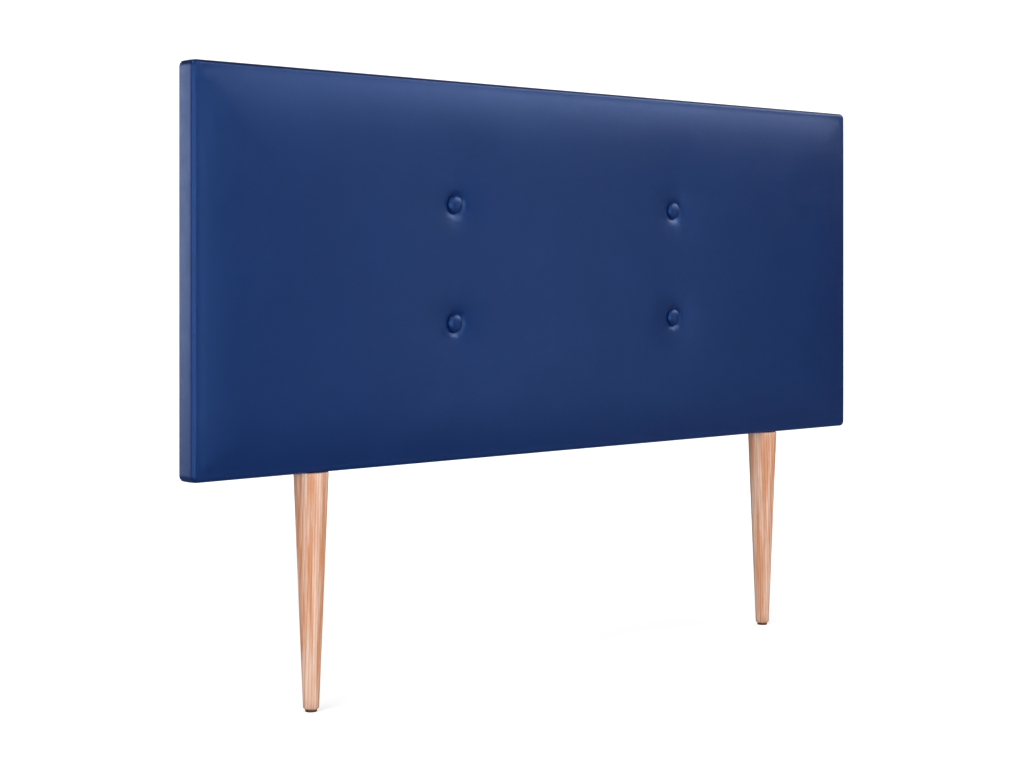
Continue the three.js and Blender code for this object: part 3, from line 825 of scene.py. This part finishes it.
CLOTH_LOW, CLOTH_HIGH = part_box("back_cloth")
STAPLE_INSET = 0.005  # from the cloth's edge
STAPLE_SPACING = 0.048
HEM = 0.010
HEM_RISE = 0.0003  # of the doubled cloth over the rest
CLOTH_STEP_DOWN = 0.0007  # from the hem, which lies on the cover's turned-in edge, to the frame
CLOTH_SAG = 0.0022
PUCKER_DEPTH, PUCKER_REACH = 0.00035, 0.0055  # at each staple
SCALLOP_HEIGHT = 0.00012  # of the waves between staples


def staple_places():
    """(x, z, along x or not) of each staple around the back cloth."""
    half_x = CLOTH_HIGH.x - STAPLE_INSET
    low, high = CLOTH_LOW.z + STAPLE_INSET, CLOTH_HIGH.z - STAPLE_INSET
    places = []
    for x in np.linspace(-half_x + 0.02, half_x - 0.02, round(2 * half_x / STAPLE_SPACING)):
        places += [(x, low, True), (x, high, True)]
    for z in np.linspace(low + 0.025, high - 0.025, round((high - low) / STAPLE_SPACING)):
        places += [(-half_x, z, False), (half_x, z, False)]
    return places


def cloth_surface(x, z):
    """The back cloth's outer face: hem, staple puckers, and a sag between the frame's members."""
    edge = np.minimum(CLOTH_HIGH.x - np.abs(x), np.minimum(z - CLOTH_LOW.z, CLOTH_HIGH.z - z))
    y = CLOTH_HIGH.y - 0.0002 + HEM_RISE * smoothstep(HEM + 0.001, HEM - 0.001, edge)
    y = y - CLOTH_STEP_DOWN * smoothstep(0.017, 0.024, edge)
    rail_low, rail_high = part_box("frame_bottom_rail")[1].z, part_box("frame_top_rail")[0].z
    stile_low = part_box("frame_left_stile")[1].x
    upright_low, upright_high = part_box("frame_centre_upright")[0].x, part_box("frame_centre_upright")[1].x
    stile_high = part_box("frame_right_stile")[0].x
    up = np.clip((z - rail_low) / (rail_high - rail_low), 0, 1)
    for start, end in ((stile_low, upright_low), (upright_high, stile_high)):
        along = np.clip((x - start) / (end - start), 0, 1)
        y = y - CLOTH_SAG * np.sin(math.pi * along) ** 0.7 * np.sin(math.pi * up) ** 0.7
    for staple_x, staple_z, along_x in staple_places():
        away_x, away_z = (x - staple_x) / (1.4 if along_x else 1), (z - staple_z) / (1 if along_x else 1.4)
        away = np.hypot(away_x, away_z)
        y = y - PUCKER_DEPTH * np.exp(-((away / PUCKER_REACH) ** 2))
    scallop = np.cos(2 * math.pi * x / STAPLE_SPACING) + np.cos(2 * math.pi * z / STAPLE_SPACING)
    return y + SCALLOP_HEIGHT * scallop * np.exp(-edge / 0.02)


def make_back_cloth():
    lines_x = np.arange(CLOTH_LOW.x, CLOTH_HIGH.x + 0.001, (CLOTH_HIGH.x - CLOTH_LOW.x) / 285)
    lines_z = np.linspace(CLOTH_LOW.z, CLOTH_HIGH.z, 110)
    fine = np.array([0.0, 0.002, 0.005, 0.008, 0.009, 0.010, 0.011, 0.0125])

    def with_edges(lines):
        inner = lines[(lines > lines[0] + 0.014) & (lines < lines[-1] - 0.014)]
        return np.concatenate([lines[0] + fine, inner, lines[-1] - fine[::-1]])

    lines_x, lines_z = with_edges(lines_x), with_edges(lines_z)
    x, z = np.meshgrid(lines_x, lines_z, indexing="ij")
    points = np.stack([x, cloth_surface(x, z), z], -1).reshape(-1, 3)
    faces = [face[::-1] for face in grid_faces(*x.shape)]
    cloth = make_object("lining_cloth", points, faces)
    thicken(cloth, 0.0004)
    dress(cloth, "back_cloth")
    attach(cloth, "root")
    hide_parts("back_cloth")
    return cloth


def staple(x, z, y, along_x, tilt):
    """A wire staple whose crown lies at y, with its legs driven towards -Y."""
    half_crown, leg, bend, wire = 0.005, 0.006, 0.0008, 0.00042
    run = Vector((math.cos(tilt), 0, math.sin(tilt)))
    if not along_x:
        run = Vector((run.z, 0, run.x))
    middle, down = Vector((x, y, z)), Vector((0, -1, 0))
    turn = (half_crown - bend * 0.3, bend * 0.3)
    half = [(half_crown, leg), (half_crown, bend), turn, (half_crown - bend, 0)]
    first = [middle - run * out + down * depth for out, depth in half]
    last = [middle + run * out + down * depth for out, depth in reversed(half)]
    return sweep([*first, middle, *last], wire, 8)


def make_staples():
    random = np.random.default_rng(7)
    parts = []
    for x, z, along_x in staple_places():
        surface = float(cloth_surface(np.array([x]), np.array([z]))[0])
        nudge = random.uniform(-0.0012, 0.0012, 2)
        tilt = random.uniform(-0.09, 0.09)
        place_x, place_z = x + nudge[0] * along_x, z + nudge[1] * (not along_x)
        parts.append(staple(place_x, place_z, surface + 0.0003, along_x, tilt))
    staples = joined("back_cloth_staples", parts)
    dress(staples, "staple_steel")
    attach(staples, "root")
    return staples


# ---- Finishes of the frame's own pieces ----

CAD_FINISHES = {
    "facing_board": "hardboard",
    "frame_bottom_rail": "rail_pine",
    "frame_top_rail": "rail_pine",
    "frame_left_stile": "stile_pine",
    "frame_centre_upright": "stile_pine",
    "frame_right_stile": "stile_pine",
    "dowel": "dowel_beech",
    "tie_peg": "peg_beech",
    "hanger_bolt": "steel",
    "threaded_insert": "brass",
    "button_plate": "steel",
    "twine_tie": "twine",
}


def dress_frame():
    for name, node in nodes.items():
        for start, finish in CAD_FINISHES.items():
            if name.startswith(start):
                dress(node, finish)


# ---- Camera, floor and light ----


def make_camera():
    """The photograph's viewing angle: level, turned right, with the horizon above the frame's middle."""
    data = bpy.data.cameras.new("camera")
    data.sensor_width = 36.0
    data.lens = 72.3
    data.shift_y = -0.1146
    data.clip_end = 200
    camera = bpy.data.objects.new("camera", data)
    camera.location = (-2.344, -2.286, 0.631)
    camera.rotation_euler = (math.radians(90), 0, math.radians(-44.35))
    bpy.context.scene.collection.objects.link(camera)
    bpy.context.scene.camera = camera


def make_floor():
    reach, cells = 60.0, 12
    lines = np.linspace(-reach, reach, cells + 1)
    x, y = np.meshgrid(lines, lines, indexing="ij")
    points = np.stack([x, y, np.zeros_like(x)], -1).reshape(-1, 3)
    faces = [face[::-1] for face in grid_faces(cells + 1, cells + 1)]
    floor = make_object("floor", points, faces)
    dress(floor, "floor")
    floor.visible_diffuse = floor.visible_glossy = False
    bounce = make_object("floor_for_bounced_light", points - np.array([0, 0, 0.0005]), faces)
    dress(bounce, "bounce_floor")
    bounce.visible_camera = bounce.visible_shadow = floor.visible_shadow = False


def make_world():
    """White for the camera, and dimmer for everything that it lights."""
    world = bpy.data.worlds.new("studio")
    world.use_nodes = True
    tree = world.node_tree
    background = tree.nodes["Background"]
    seen = tree.nodes.new("ShaderNodeBackground")
    seen.inputs["Color"].default_value = (1, 1, 1, 1)
    seen.inputs["Strength"].default_value = 1.2
    background.inputs["Color"].default_value = (0.93, 0.96, 1.0, 1)
    background.inputs["Strength"].default_value = 0.07
    path = tree.nodes.new("ShaderNodeLightPath")
    mix = tree.nodes.new("ShaderNodeMixShader")
    tree.links.new(path.outputs["Is Camera Ray"], mix.inputs[0])
    tree.links.new(background.outputs[0], mix.inputs[1])
    tree.links.new(seen.outputs[0], mix.inputs[2])
    tree.links.new(mix.outputs[0], tree.nodes["World Output"].inputs[0])
    bpy.context.scene.world = world


LIGHT_TARGET = (0, 0, 0.62)
SOFTBOXES = {  # name: (place, (width, height), watts)
    "left_wall": ((-3.2, -1.2, 0.8), (3.0, 1.6), 44),
    "back_left_softbox": ((-2.06, 2.45, 0.9), (1.5, 1.5), 25),
    "front_left_softbox": ((-0.6, -3.14, 0.4), (0.8, 1.0), 28),
    "high_right_softbox": ((2.42, -1.4, 2.2), (1.0, 1.0), 17),
    "high_front_softbox": ((1.85, -2.1, 2.2), (1.0, 1.0), 17),
    "high_left_softbox": ((0.0, -3.2, 2.1), (1.0, 1.0), 18),
    "front_fill_softbox": ((-1.9, -2.6, 0.7), (0.9, 1.0), 13),
    "right_softbox": ((2.76, -0.49, 1.7), (0.8, 0.8), 9),
    "front_right_strip": ((2.1, -2.41, 0.42), (0.4, 0.8), 5),
}


def area_light(name, place, size, power):
    data = bpy.data.lights.new(name, "AREA")
    data.shape = "RECTANGLE"
    data.size, data.size_y = size
    data.energy = power
    light = bpy.data.objects.new(name, data)
    light.location = place
    direction = Vector(LIGHT_TARGET) - Vector(place)
    light.rotation_euler = direction.to_track_quat("-Z", "Y").to_euler()
    light.visible_camera = False
    bpy.context.scene.collection.objects.link(light)


def make_lights():
    sun = bpy.data.lights.new("high_left_light", "SUN")
    sun.energy = 1.5
    sun.angle = math.radians(28)
    light = bpy.data.objects.new("high_left_light", sun)
    direction = Vector((0.55, 0.12, -1.0))
    light.rotation_euler = direction.to_track_quat("-Z", "Y").to_euler()
    bpy.context.scene.collection.objects.link(light)
    for name, (place, size, power) in SOFTBOXES.items():
        area_light(name, place, size, power)


make_camera()
make_world()
make_floor()
make_lights()
swell = simulated_swell()
make_cover(swell)
make_foam(swell)
for name in BUTTON_NAMES:
    make_button(name)
for side in SIDES:
    make_leg(side)
    make_glide(side)
make_back_cloth()
make_staples()
dress_frame()
bpy.context.scene.view_settings.view_transform = "Standard"
